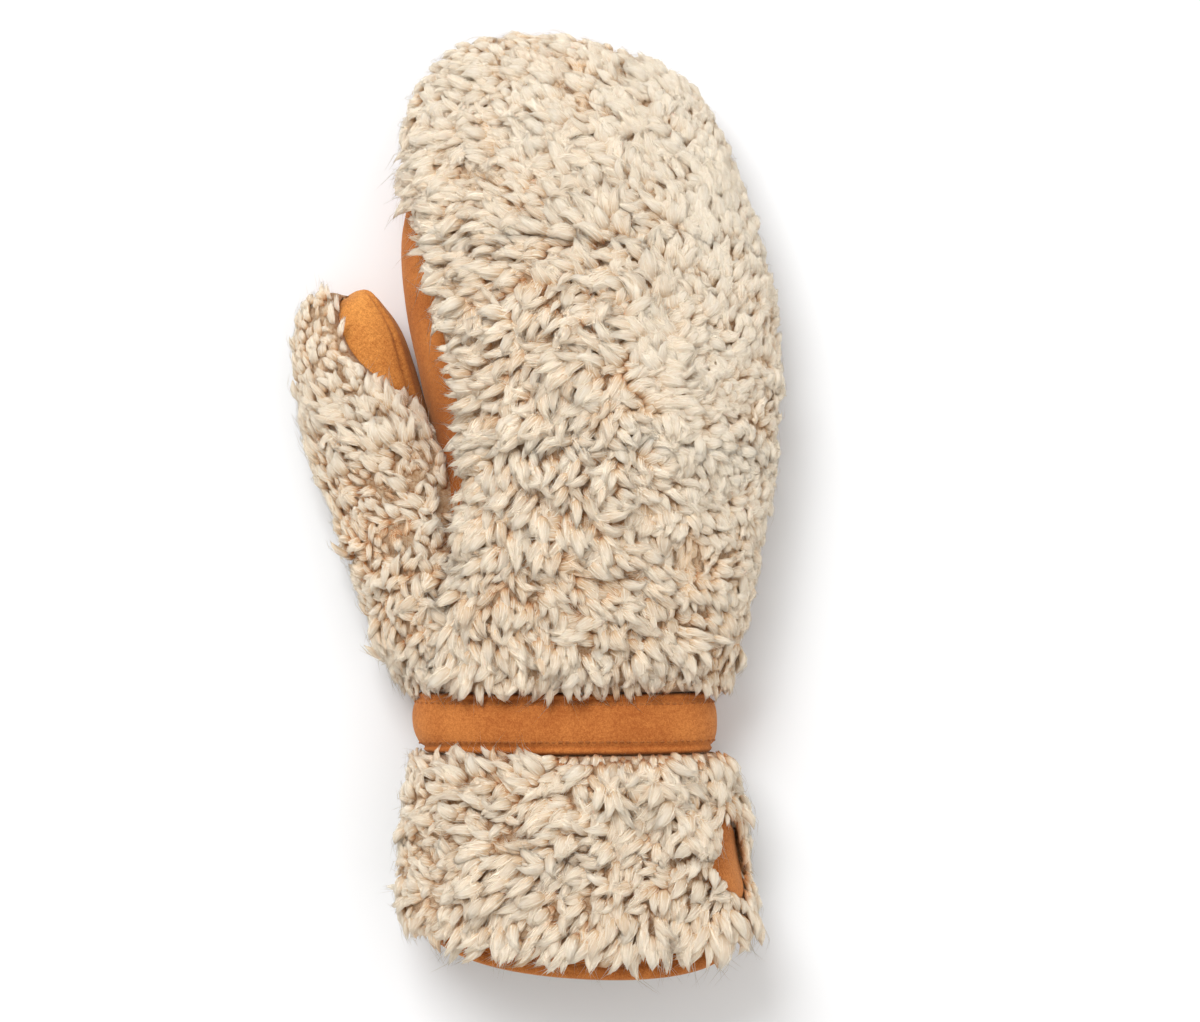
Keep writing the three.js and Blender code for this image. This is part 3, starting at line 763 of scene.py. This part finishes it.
def comb(body, t, angle, share, style, size):
    # Roots, scaled directions and tone of the locks at each place
    base = backing(body, t, angle)
    normal = outward(body, t, angle)
    calm = style["even"](base)
    middle, tuft, count = gather(base, style["tuft"])
    pull = (middle - base) / style["tuft"]
    heap = (0.25 - (pull ** 2).sum(-1)) * lay["heap"] * (1 - calm)
    away = base - np.array(style["focus"])
    away = away / (np.linalg.norm(away, axis=-1, keepdims=True) + style["calm"])
    away = away + np.cross((0, 0, style["swirl"]), away) + np.array(style["lean"])
    drift = np.stack([waves(0.5 * (base + middle), style["whorlSize"], k) for k in (1, 8, 9)], -1)
    drift = drift * style["whorl"] + pull * lay["tuftPull"]
    drift = drift + draw.normal(0, lay["tuftTurn"], (count, 3))[tuft]
    drift = drift + draw.normal(0, style["loose"], base.shape)
    heading = away + drift * (1 - 0.4 * calm[:, None]) + style["edges"](base, t, share)
    heading = unit(heading - normal * (heading * normal).sum(-1, keepdims=True))
    valley = 1 - ease(np.abs(waves(base, style["valleySize"], 2)) / lay["valleyWidth"])
    valley = valley * np.clip(0.75 + 0.9 * waves(base, 40.0, 10), 0.25, 1) * (1 - calm)
    full = style["pile"](t, share)
    sway = lay["sway"] * waves(base, lay["swaySize"], 3) + draw.normal(0, lay["jolt"], len(t))
    tilt = np.clip(style["rise"] + sway * (1 - 0.5 * calm), *lay["tilt"])
    forward = heading * np.cos(tilt)[:, None] + normal * np.sin(tilt)[:, None]
    side = unit(np.cross(forward, normal))
    up = np.cross(side, forward)
    long = style["length"] * size * (0.5 + 0.5 * full / pile["depth"]) * draw.uniform(*lay["long"], len(t))
    long = long * (1 - lay["valleyShort"] * valley) * style["reach"](base, t, share)
    long = long * (1 + lay["swell"] * waves(base, lay["swellSize"], 12))
    wide = long ** 0.5 * (style["length"] * size) ** 0.5 * draw.uniform(*lay["wide"], len(t))
    wide = wide * (1 + 0.35 * calm)
    hills = lumps(base) * edgeRise(share, 0.1)
    high = full * (pile["root"] + 0.1 * (1 - size)) - pile["sunk"] + hills - lay["valleyDeep"] * valley + heap
    high = np.maximum(high, full * pile["mat"] + hills - pile["mostSunk"])
    back = style["back"](base, t) * long * np.cos(tilt)
    flips = np.where(draw.random(count) < 0.5, -1.0, 1.0)[tuft]
    flips = flips * np.where(draw.random(len(t)) < lay["turned"], -1, 1)
    root = base + normal * high[:, None] - heading * back[:, None]
    return {
        "root": root + pull * (lay["tuftGather"] * style["tuft"]),
        "frame": np.stack([side * wide[:, None], forward * long[:, None], up * long[:, None]], 1),
        # painted shade: darker in the pile's valleys
        "tone": np.clip(1.0 + draw.normal(0, lay["tones"], len(t)) - lay["valleyShade"] * valley, 0.4, 1.3),
        "calm": calm,
        "deep": full + hills - high,
        "normal": normal,
        "flip": flips,
    }


def alongLocks(locks, share):
    return locks["root"] + locks["frame"][:, 1] * share


def overBadge(locks):
    near = [nearBadge(alongLocks(locks, share), badge["cleared"]) for share in (0.2, 0.6, 0.9)]
    return np.min(near, axis=0) < 1


strip = {"x": -40.6, "y": 56, "halfWide": 1.9, "halfLong": 19, "above": 6}


def overStrip(locks):  # the crease between hand and thumb, left open
    x, y, z = alongLocks(locks, 0.75).T
    near = (np.abs(x - strip["x"]) < strip["halfWide"]) & (np.abs(y - strip["y"]) < strip["halfLong"])
    return near & (z > strip["above"])


capSteps = [(-71, 107), (-73.5, 115), (-np.inf, 123)]  # nothing lies both to the right of and above these


def pastCap(locks):  # beyond the pointed cap of the thumb
    x, y = alongLocks(locks, 0.75).T[:2]
    return np.any([(x > right) & (y > top) for right, top in capSteps], axis=0)


def addSingle(locks, single):  # one more lock at a drawn place, seen from above
    place, heading, long = [np.array(fact, float) for fact in single]
    forward = unit(np.array([*heading, 0.05]))
    side = unit(np.cross(forward, (0, 0, 1)))
    frame = np.stack([side * long * 0.8, forward * long, np.cross(side, forward) * long])
    more = {"root": place, "frame": frame, "normal": np.array([0, 0, 1.0]),
            "tone": 1.0, "calm": 0.3, "deep": 1.0, "flip": 1.0}
    return {key: np.concatenate([values, np.array([more[key]])]) for key, values in locks.items()}


def dress(body, style):
    (start, finish), split = style["rows"], style["split"]
    t, angle = scatterRoots(body, start, finish, style["low"], style["high"],
                            lambda points: style["pitch"] * style["size"](points))
    size = style["size"](backing(body, t, angle))
    locks = comb(body, t, angle, style["share"](t, angle), style, size)
    clear = ~style["bare"](locks)
    budding = draw.random(len(t)) < style["buds"] + 1.2 * (1 - size)
    pick = np.where(budding, draw.integers(firstBud, len(kinds), len(t)), draw.integers(0, firstBud, len(t)))
    for row, place, heading, long in style["singles"]:
        locks = addSingle(locks, (place, heading, long))
        t, pick, clear = np.append(t, row), np.append(pick, straightest), np.append(clear, True)
    for name, since, until in zip(style["pieces"], (start - 1, *split), (*split, finish + 1)):
        some = clear & (t >= since) & (t < until)
        joinLocks(name, pick[some], {key: values[some] for key, values in locks.items()}, [style["node"]])


def shareBetween(low, high):  # how far round an angle lies from one seam to the other
    return lambda t, angle: (angle - low(t)) / (high(t) - low(t))


def towards(amount, x, y):
    return amount[..., None] * np.array([x, y, 0.0])


def backSize(points):  # locks are smaller over the fingertips and on the outer side
    return 1 - 0.3 * ramp(points[..., 0], 12, 45) - 0.16 * ramp(points[..., 1], 130, 175)


def backEdges(points, t, share):  # down over the band, and out over the strip
    return towards(1.3 * fall(t, 0.2, 1.4), 0, -1) + towards(1.2 * ramp(share, 0.86, 0.98), -1, 0.1)


def backReach(points, t, share):  # longer over the strip, and shorter at the fingertips
    return 1 + 0.2 * ramp(share, 0.8, 0.95) - 0.25 * ramp(points[..., 1], 180, 196)


def backEven(points):
    outer = 0.65 * ramp(points[..., 0], 4, 38) * ramp(points[..., 1], 15, 60)
    return outer + 0.45 * ramp(points[..., 1], 120, 160)


backStyle = {"pieces": ("backCurlsWrist", "backCurlsMiddle", "backCurlsTop"), "node": "hand_back_fleece",
             "rows": (0.18, hand["tip"] - 0.05), "split": (4.6, 8.4), "pile": handPile,
             "low": lambda t: seamRight(t) + 2, "high": lambda t: backEdge(t) - 3,
             "share": shareBetween(seamRight, backEdge), "focus": (10, 104, 46), "calm": 34.0,
             "lean": (-0.15, 0, 0), "swirl": 0.7, "whorlSize": 9.0, "whorl": 1.2, "loose": 0.11, "tuft": 7.0,
             "valleySize": 17.0, "rise": 0.12, "length": 9.8, "pitch": 2.8, "buds": 0.1, "size": backSize,
             "edges": backEdges, "reach": backReach, "back": lambda points, t: 0.4, "even": backEven,
             "bare": overStrip, "singles": [(0.1, (44, 8, 26), (0.3, -0.95), 9)]}
dress(hand, backStyle)


def thumbSize(points):
    return 0.88 - 0.14 * ramp(points[..., 1], 80, 108)


def thumbEdges(points, t, share):  # down over the band, and up to the tip
    return towards(1.2 * fall(t, 0.2, 1.4), 0, -1) + towards(0.9 * ramp(t, 6.2, 7.4), -0.5, 1)


def thumbReach(points, t, share):
    return 1 + 0.25 * ramp(share, 0.6, 1) - 0.1 * ramp(t, 6.4, 7.6)


thumbCap = [((-79, 117, 22), (-0.2, 0.98), 10), ((-77, 116.5, 24), (-0.25, 0.97), 9.5),
            ((-81.5, 113, 21), (-0.2, 0.98), 10), ((-76, 110, 28), (-0.15, 0.98), 10),
            ((-75, 114.5, 25), (-0.1, 1), 8), ((-74, 107, 30), (0.15, 0.98), 8)]
thumbStyle = {"pieces": ("thumbCurls",), "node": "thumb_back_fleece",
              "rows": (0.15, thumb["tip"] - 0.05), "split": (), "pile": thumbPile,
              "low": lambda t: thumbEdge(t) + 4, "high": lambda t: seamUnder(t) - 4,
              "share": shareBetween(thumbEdge, seamUnder), "focus": (-56, 50, 30), "calm": 32.0,
              "lean": (-0.3, 0.25, 0), "swirl": 0.2, "whorlSize": 8.0, "whorl": 0.8, "loose": 0.13,
              "tuft": 6.5, "valleySize": 13.0, "rise": 0.12, "length": 9.2, "pitch": 2.75, "buds": 0.08,
              "size": thumbSize, "edges": thumbEdges, "reach": thumbReach, "back": lambda points, t: 0.4,
              "even": lambda points: 0.3 * ramp(points[..., 1], 70, 110),
              "bare": lambda locks: overStrip(locks) | pastCap(locks),
              "singles": [(7.5, *lock) for lock in thumbCap]}
dress(thumb, thumbStyle)


def cuffSize(points):  # larger underneath, where few are seen
    return 1 - 0.15 * ramp(points[..., 0], 20, 45) + 0.3 * fall(points[..., 2], 4, 10)


def cuffEdges(points, t, share):  # up over the band at the left, and down over the hem
    left, top = fall(points[..., 0], -44, 10), fall(t, 2.2, 2.8)
    upper = towards(1.3 * top * left, -0.3, 1) + towards(1.0 * top * (1 - left), 0.15, -1)
    return upper + towards(1.4 * ramp(t, 4.4, 5.3), 0, -1)


def cuffReach(points, t, share):
    return 1 - 0.2 * ramp(-points[..., 0], 28, 46) + 0.22 * ramp(t, 4.9, 5.3)


def cuffBack(points, t):
    return 0.4 - 0.25 * fall(t, 2.15, 2.6) * ramp(points[..., 0], -44, 10)


def cuffEven(points):
    return 0.2 * ramp(points[..., 0], 20, 45) + 0.35 * ramp(-points[..., 0], 26, 45)


cuffStyle = {"pieces": ("cuffCurlsWrist", "cuffCurlsMouth"), "node": "cuff_fleece",
             "rows": (2.09, hemStart - 0.03), "split": (3.8,), "pile": cuffPile,
             "low": lambda t: 0, "high": lambda t: 360, "share": lambda t, angle: np.full(np.shape(t), 0.5),
             "focus": (8, -30, 36), "calm": 34.0, "lean": (-0.3, -0.2, 0), "swirl": -0.5, "whorlSize": 9.0,
             "whorl": 1.0, "loose": 0.11, "tuft": 7.5, "valleySize": 15.0, "rise": 0.12, "length": 10.0,
             "pitch": 2.7, "buds": 0.1, "size": cuffSize, "edges": cuffEdges, "reach": cuffReach,
             "back": cuffBack, "even": cuffEven, "bare": overBadge,
             "singles": [(3.5, (-50, -59, 28), (-1, -0.15), 9), (5.2, (-24, -71, 47), (-0.1, -1), 9)]}
dress(sleeve, cuffStyle)
print("curls grown")


# Suede: palm, thumb, band, hem and badge
palm = {"wall": 4.0, "segments": (96, 60), "crease": 0.5, "creaseSize": 16.0, "tuckLeft": 5, "tuckRight": 4}
thumbSuede = {"wall": 3.5, "segments": (70, 90), "tuckTop": 12, "tuckUnder": 4, "crease": 0.4,
              "creaseSize": 11.0, "seamAngle": 42.0, "seamDepth": 0.9, "seamWidth": 2.2, "puff": 0.5,
              "puffAt": 8, "puffWidth": 5,
              "shoulder": 2.6, "shoulderRow": 7.35, "shoulderLong": 0.45, "shoulderAngle": -8,
              "shoulderWide": 42}


def bump(x, middle, width):  # 1 at the middle, fading to 0 about two widths away
    return np.exp(-(((x - middle) / width) ** 2))


def palmPlace(u, w):
    t = 0.02 + (hand["tip"] - 0.14) * u
    low, high = backEdge(t) - palm["tuckLeft"], 360 + palm["tuckRight"] + seamRight(t)
    return t, low + (high - low) * w


def palmOffset(t, w, points):
    return waves(points, palm["creaseSize"], 4) * palm["crease"]


def thumbSuedeEdges(t):  # tucked under the fleece at both sides
    return seamUnder(t) - (360 + thumbSuede["tuckUnder"]), thumbEdge(t) + thumbSuede["tuckTop"]


def thumbSuedePlace(u, w):
    t = 0.5 + (thumb["tip"] - 0.52) * u
    low, high = thumbSuedeEdges(t)
    return t, low + (high - low) * w


def thumbOffset(t, w, points):  # a sunk seam between two puffs, and a fuller shoulder near the tip
    fact = thumbSuede
    low, high = thumbSuedeEdges(t)
    off = low + (high - low) * w - fact["seamAngle"]
    seam = np.exp(-((off / fact["seamWidth"]) ** 2)) * ramp(t, 2.5, 4)
    puff = fact["puff"] * bump(np.abs(off), fact["puffAt"], fact["puffWidth"]) * ramp(t, 2.5, 4)
    shoulderTurn = (off - fact["shoulderAngle"]) / fact["shoulderWide"]
    shoulder = np.exp(-(((t - fact["shoulderRow"]) / fact["shoulderLong"]) ** 2) - shoulderTurn ** 2)
    creases = waves(points, fact["creaseSize"], 4) * fact["crease"]
    return creases + puff + fact["shoulder"] * shoulder - fact["seamDepth"] * seam


palmPiece = settle("palmSuede", drawSheet(hand, palmPlace, palm["segments"], palmOffset),
                   [suede, lining], ["palm_suede"])
giveWall(palmPiece, palm["wall"])
thumbPiece = settle("thumbSuede", drawSheet(thumb, thumbSuedePlace, thumbSuede["segments"], thumbOffset),
                    [litSuede, lining], ["thumb_suede"])
giveWall(thumbPiece, thumbSuede["wall"])

band = {"bulge": 4.0, "wall": 5.0, "segments": (44, 150), "start": 0.03, "end": 1.97, "height": 18.4,
        "topGroove": 1.6, "lowGroove": 1.5, "depth": 0.7, "grooveWidth": 0.6, "stitchPitch": 2.0,
        "stitchRise": 1.4, "lip": 0.5, "topLip": 0.7, "lowLip": 0.8, "lipWidth": 0.6,
        "pucker": 0.18, "puckers": 107, "puckerAt": 3, "puckerWidth": 1.2, "crease": 0.4, "creaseSize": 13}


def bandDown(t):  # millimetres below the band's top edge
    return (t - band["start"]) / (band["end"] - band["start"]) * band["height"]


def bandOffset(t, w, points):
    down = bandDown(t)
    left = band["height"] - down
    s = down / band["height"]
    bulge = band["bulge"] * (1 - 0.7 * np.abs(2 * s - 1) ** 2.6)
    groove = bump(down, band["topGroove"], band["grooveWidth"])
    groove = groove + bump(left, band["lowGroove"], band["grooveWidth"])
    lip = bump(down, band["topLip"], band["lipWidth"]) + bump(left, band["lowLip"], band["lipWidth"])
    pucker = band["pucker"] * np.cos(w * 2 * np.pi * band["puckers"])
    pucker = pucker * bump(left, band["puckerAt"], band["puckerWidth"])
    creases = waves(points, band["creaseSize"], 5) * band["crease"]
    return bulge - band["depth"] * groove + band["lip"] * lip - pucker + creases


def ringPlace(start, end):
    return lambda u, w: (start + (end - start) * u, 360 * w)


bandSheet = drawSheet(sleeve, ringPlace(band["start"], band["end"]), band["segments"], bandOffset, True)
giveWall(settle("wristBand", bandSheet, [suede, lining], ["wrist_band"]), band["wall"])

hem = {"height": hemHeight, "bulge": 2.0, "wall": 5.0, "segments": (16, 150), "stitchDown": 2.2,
       "stitchPitch": 2.4, "groove": 0.5, "grooveWidth": 0.5, "crease": 0.3, "creaseSize": 11}


def hemOffset(t, w, points):
    down = (t - hemStart) * mouthRow
    roll = np.sqrt(np.clip(1 - (down / hem["height"]) ** 6, 0.05, 1))
    groove = hem["groove"] * bump(down, hem["stitchDown"], hem["grooveWidth"])
    return hem["bulge"] * roll - groove + waves(points, hem["creaseSize"], 11) * hem["crease"]


hemSheet = drawSheet(sleeve, ringPlace(hemStart, sleeve["tip"]), hem["segments"], hemOffset, True)
giveWall(settle("cuffHem", hemSheet, [suede, lining], ["cuff_hem"]), hem["wall"])


def badgePlace(u, w):
    across, along = 2 * u - 1, 2 * w - 1
    t = badge["row"] + badge["halfRow"] * along * np.sqrt(1 - 0.5 * across ** 2)
    return t, badge["angle"] + badge["halfTurn"] * across * np.sqrt(1 - 0.5 * along ** 2)


def badgeOffset(t, w, points):  # a raised rim round a plain middle
    away = nearBadge(points + outward(sleeve, t, badge["angle"]) * badgeTop)
    rim = badge["rim"] * bump(away, badge["rimAt"], badge["rimWidth"])
    return badgeTop + rim - badge["edge"] * ramp(away, badge["edgeFrom"], badge["edgeTo"])


badgeSheet = drawSheet(sleeve, badgePlace, badge["segments"], badgeOffset)
giveWall(settle("cuffBadge", badgeSheet, [suede, suede], ["cuff_badge"]), badge["thick"])
print("suede cut")


# Stitches: one small lozenge copied along each sewn line
stitch = {"long": 1.5, "wide": 0.7, "high": 0.5, "proud": 0.12}


def drawStitch():
    bm = bmesh.new()
    bm.loops.layers.uv.new("UVMap")
    bm.verts.layers.float.new("tone")
    bmesh.ops.create_uvsphere(bm, u_segments=6, v_segments=4, radius=0.5, calc_uvs=True)
    for vert in bm.verts:  # long from side to side
        vert.co = (vert.co.z * stitch["long"], vert.co.y * stitch["wide"], vert.co.x * stitch["high"])
    bmesh.ops.recalc_face_normals(bm, faces=bm.faces)
    return asShape(bm)


def stitchLine(body, t, angles, offset):
    point = skin(body, t, angles, offset)
    up = outward(body, t, angles)
    side = unit(backing(body, t, angles + 0.5) - backing(body, t, angles - 0.5))
    forward = np.cross(up, side)
    return point, np.stack([side, forward, up], 1)


def ringStitches(t, pitch, offset):
    angles = np.linspace(0, 360, 721)
    gaps = np.linalg.norm(np.diff(backing(sleeve, t, angles), axis=0), axis=1)
    arc = np.concatenate([[0], np.cumsum(gaps)])
    count = int(arc[-1] / pitch)
    at = np.interp((np.arange(count) + 0.5) / count * arc[-1], arc, angles)
    depth = offset(np.full(count, t), at / 360, backing(sleeve, t, at))
    return stitchLine(sleeve, np.full(count, t), at, depth + stitch["proud"])


stitchShape = drawStitch()
bandRow = (band["end"] - band["start"]) / band["height"]
bandLines = (band["end"] - bandRow * (band["lowGroove"] + band["stitchRise"]),
             band["start"] + bandRow * (band["topGroove"] + band["stitchRise"]))
sewn = {
    "bandStitches": [ringStitches(t, band["stitchPitch"], bandOffset) for t in bandLines],
    "hemStitches": [ringStitches(hemStart + hem["stitchDown"] / mouthRow, hem["stitchPitch"], hemOffset)],
}
for name, rings in sewn.items():
    points, frames = [np.concatenate(parts) for parts in zip(*rings)]
    facts = {"tone": 1.0, "calm": 0.0, "deep": 0.0, "flip": 1.0}
    locks = {key: np.full(len(points), value) for key, value in facts.items()}
    locks.update(root=points, frame=frames, normal=frames[:, 2])
    joined = copies([stitchShape], np.zeros(len(points), int), locks)
    print(name, len(points), "stitches")
    settleMesh(name, meshOf(name, joined), [thread], [])


# Camera, floor and light
shot = {"scale": 0.307, "frame": (1200, 1022), "middle": (6.14, 55.0, 25.0), "distance": 950.0,
        "elevation": 84.5, "sensor": 36}
target = Vector((np.array(shot["middle"]) + shift) * drawing["millimetre"])
tilt = math.radians(shot["elevation"])
camera = bpy.data.objects.new("camera", bpy.data.cameras.new("camera"))
bpy.context.scene.collection.objects.link(camera)
away = Vector((0, -math.cos(tilt), math.sin(tilt)))
camera.location = target + away * shot["distance"] * drawing["millimetre"]
camera.rotation_euler = (math.radians(90) - tilt, 0, 0)
camera.data.sensor_fit = "HORIZONTAL"
camera.data.sensor_width = shot["sensor"]
camera.data.lens = shot["sensor"] * shot["distance"] / (shot["frame"][0] * shot["scale"])
bpy.context.scene.camera = camera

ground = {"half": 4, "height": -0.0002, "colour": (0.92, 0.94, 0.97, 1)}
floorMesh = bmesh.new()
bmesh.ops.create_grid(floorMesh, x_segments=1, y_segments=1, size=ground["half"])
floorData = bpy.data.meshes.new("floor")
floorMesh.to_mesh(floorData)
floorMesh.free()
floor = bpy.data.objects.new("floor", floorData)
floor.location.z = ground["height"]
floorData.materials.append(Finish("paleFloor", Base_Color=ground["colour"], Roughness=0.9).material)
bpy.context.scene.collection.objects.link(floor)

sky = {"Color": (1, 0.96, 0.905, 1), "Strength": 0.66}
world = bpy.data.worlds.new("studio")
world.use_nodes = True
for key, value in sky.items():
    world.node_tree.nodes["Background"].inputs[key].default_value = value
bpy.context.scene.world = world
bpy.context.scene.view_settings.view_transform = "Standard"

lamps = {"key": ((-0.4, 0.7, 1.25), 0.8, 14), "fill": ((0.8, -0.3, 1.2), 1.2, 3)}
for name, (place, size, power) in lamps.items():
    lamp = bpy.data.lights.new(name, "AREA")
    lamp.size = size
    lamp.energy = power
    holder = bpy.data.objects.new(name, lamp)
    holder.location = place
    holder.rotation_euler = (target - Vector(place)).to_track_quat("-Z", "Y").to_euler()
    bpy.context.scene.collection.objects.link(holder)
print("stage set")
